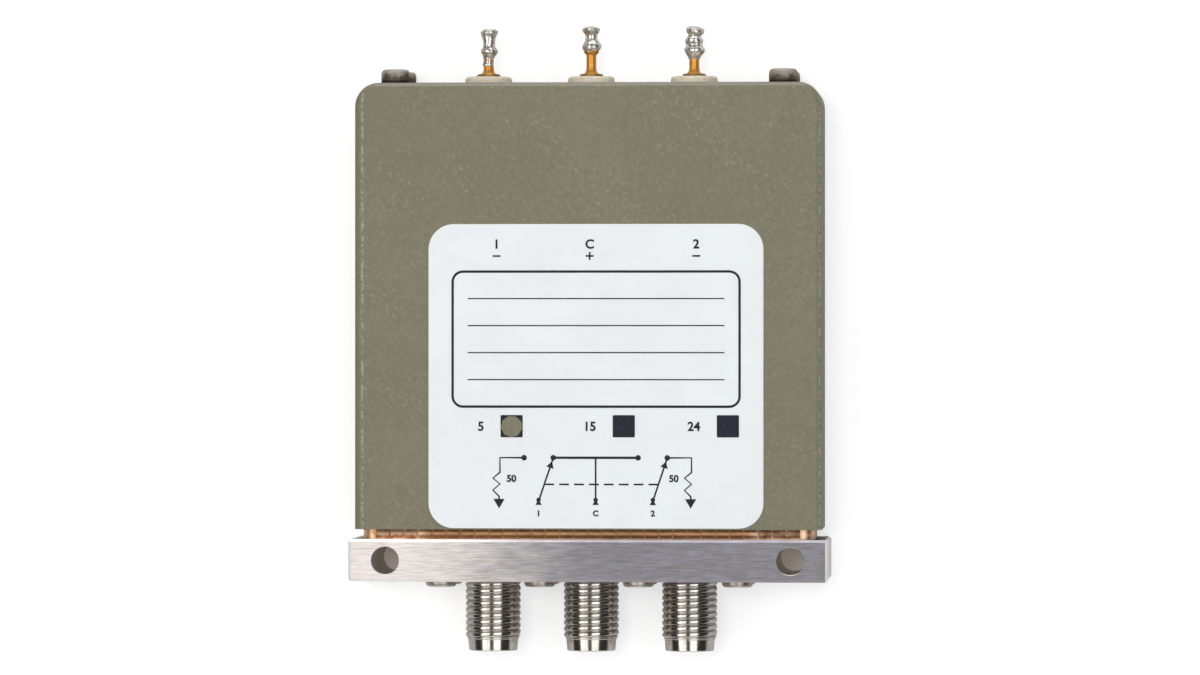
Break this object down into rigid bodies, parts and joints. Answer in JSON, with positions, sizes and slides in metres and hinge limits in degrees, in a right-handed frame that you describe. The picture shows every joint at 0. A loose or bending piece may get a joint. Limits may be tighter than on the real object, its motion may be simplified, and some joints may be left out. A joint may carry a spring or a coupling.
{
  "type": "coaxial antenna switch",
  "caption": "Latching two-way coaxial switch: painted can on a machined head with threaded coaxial ports, turret solder terminals and a tilting-armature drive inside.",
  "frame": {"origin": "midway between the two mounting holes, on the back face of the head", "axes": "+X to the right as the label reads, +Y from the coaxial ports to the solder terminals, +Z out of the labelled face; the part lies on its back"},
  "size_m": [0.054, 0.0704, 0.0142],
  "materials": {
    "painted_can": "fine textured paint",
    "label_film": "satin white film",
    "machined_aluminium": "brushed",
    "connector_steel": "turned and passivated",
    "insulator_white": "smooth",
    "gold_plate": "plated",
    "finger_copper": "spring strip",
    "screw_steel": "dark",
    "bushing_insulation": "moulded",
    "soft_iron": "nickel plated",
    "spring_steel": "drawn wire",
    "magnet_grey": "ground",
    "bobbin_nylon": "moulded",
    "winding_copper": "enamelled wire",
    "board_green": "solder mask",
    "load_ceramic": "fired",
    "diode_black": "moulded",
    "rod_resin": "moulded",
    "lead_red": "insulated wire"
  },
  "bodies": {
    "switch_body": {"rf_head": "machined_aluminium", "connector_shell_1": "connector_steel", "connector_shell_common": "connector_steel", "connector_shell_2": "connector_steel", "connector_insulator_1": "insulator_white", "connector_insulator_common": "insulator_white", "connector_insulator_2": "insulator_white", "connector_contact_1": "gold_plate", "connector_contact_common": "gold_plate", "connector_contact_2": "gold_plate", "common_bar": "gold_plate", "load_card_1": "load_ceramic", "load_card_2": "load_ceramic", "load_finger_1": "gold_plate", "load_finger_2": "gold_plate", "cavity_lid": "machined_aluminium", "head_screws": "connector_steel", "guide_bushes": "insulator_white", "rocker_pin": "spring_steel", "rocker_bracket": "machined_aluminium", "bracket_screws": "screw_steel", "core_1": "soft_iron", "core_2": "soft_iron", "coil_bobbin_1": "bobbin_nylon", "coil_bobbin_2": "bobbin_nylon", "coil_winding_1": "winding_copper", "coil_winding_2": "winding_copper", "permanent_magnet": "magnet_grey", "centre_pole": "soft_iron", "yoke": "soft_iron", "yoke_screws": "screw_steel", "actuator_frame": "machined_aluminium", "terminal_board": "board_green", "board_screws": "screw_steel", "suppression_diodes": "diode_black", "coil_leads": "lead_red", "terminal_bushing_1": "bushing_insulation", "terminal_bushing_common": "bushing_insulation", "terminal_bushing_2": "bushing_insulation", "terminal_post_1": "gold_plate", "terminal_post_common": "gold_plate", "terminal_post_2": "gold_plate", "housing_cover": "painted_can", "cover_screws": "screw_steel", "finger_strip": "finger_copper", "face_label": "label_film"},
    "rocker": {"rocker_armature": "soft_iron"},
    "push_rod_1": {"push_rod_1": "rod_resin", "return_spring_1": "spring_steel"},
    "push_rod_2": {"push_rod_2": "rod_resin", "return_spring_2": "spring_steel"},
    "reed_1": {"contact_reed_1": "gold_plate"},
    "reed_2": {"contact_reed_2": "gold_plate"}
  },
  "joints": [
    {"name": "rocker_pivot", "type": "hinge", "parent": "switch_body", "child": "rocker", "pos_m": [0, 0.0152, 0.0071], "axis": [0, 0, 1], "range_deg": [-4.62, 0]},
    {"name": "push_rod_1_slide", "type": "slide", "parent": "switch_body", "child": "push_rod_1", "axis": [0, 1, 0], "range_m": [0, 0.0005], "deforming": ["return_spring_1"]},
    {"name": "push_rod_2_slide", "type": "slide", "parent": "switch_body", "child": "push_rod_2", "axis": [0, 1, 0], "range_m": [-0.0005, 0], "deforming": ["return_spring_2"]},
    {"name": "reed_1_flex", "type": "hinge", "parent": "switch_body", "child": "reed_1", "pos_m": [-0.01118, 0.0044, 0.0071], "axis": [0, 0, 1], "range_deg": [0, 5.75]},
    {"name": "reed_2_flex", "type": "hinge", "parent": "switch_body", "child": "reed_2", "pos_m": [0.01118, 0.0044, 0.0071], "axis": [0, 0, 1], "range_deg": [0, 5.75]}
  ],
  "couplings": [
    {"joint": "push_rod_1_slide", "follows": "rocker_pivot", "m_per_rad": -0.006198},
    {"joint": "push_rod_2_slide", "follows": "rocker_pivot", "m_per_rad": 0.006198},
    {"joint": "reed_1_flex", "follows": "rocker_pivot", "ratio": -1.2436},
    {"joint": "reed_2_flex", "follows": "rocker_pivot", "ratio": -1.2436}
  ]
}
